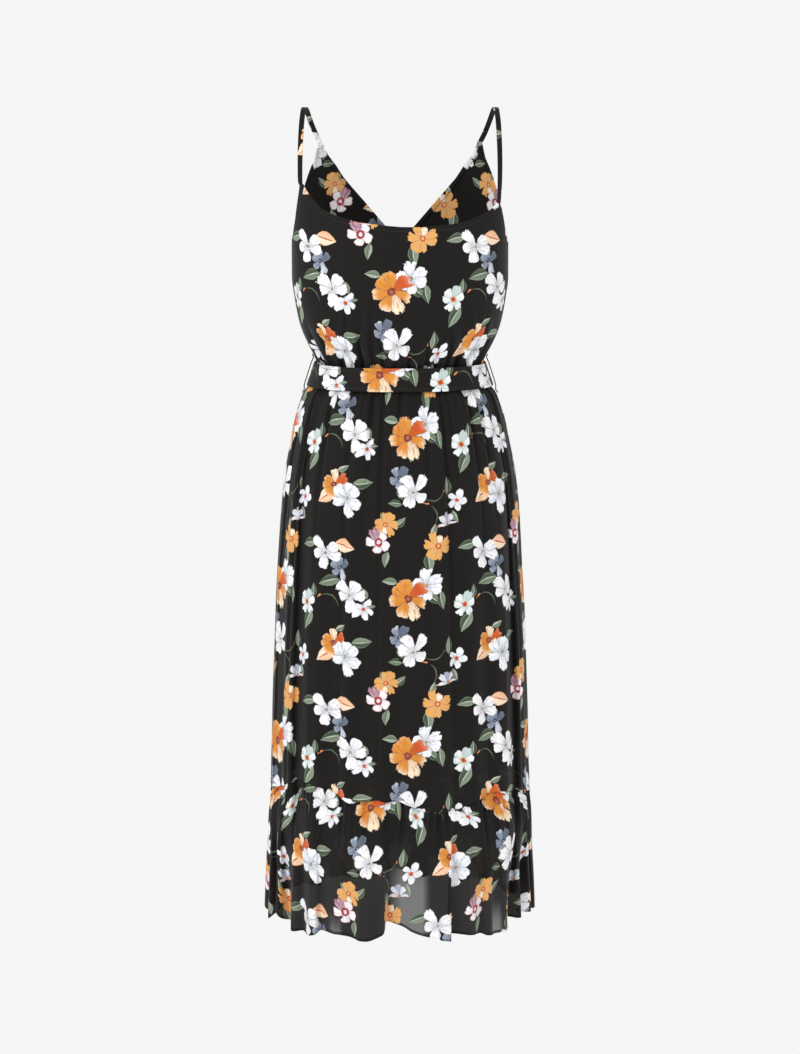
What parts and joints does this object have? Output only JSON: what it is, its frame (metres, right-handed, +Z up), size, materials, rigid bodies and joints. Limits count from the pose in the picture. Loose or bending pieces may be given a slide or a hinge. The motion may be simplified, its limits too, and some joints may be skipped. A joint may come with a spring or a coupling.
{
  "type": "maxi dress",
  "caption": "Long sleeveless dress on narrow shoulder straps, with a scooped back, a V front, a gathered waist under a belt, and a ruffled sheer hem tier.",
  "frame": {"origin": "midway between the tops of the two shoulder straps, where the wearer's shoulders hold the dress up", "axes": "+Z up along the dress, the back of the dress faces -Y, +X to the right as the back is seen"},
  "size_m": [0.4467, 0.3935, 1.2979],
  "materials": {
    "printed_cloth": "light printed crepe chiffon, brownish black ground with flowers and leaves",
    "lining_cloth": "plain black matt lining",
    "loop_thread": "black thread loop"
  },
  "bodies": {
    "root": {"back_bodice": "printed_cloth", "front_bodice": "printed_cloth", "skirt_back": "printed_cloth", "skirt_front": "printed_cloth", "ruffle_back": "printed_cloth", "ruffle_front": "printed_cloth", "skirt_lining": "lining_cloth", "belt": "printed_cloth", "strap_left": "printed_cloth", "strap_right": "printed_cloth", "belt_loop_left": "loop_thread", "belt_loop_right": "loop_thread"}
  },
  "joints": []
}
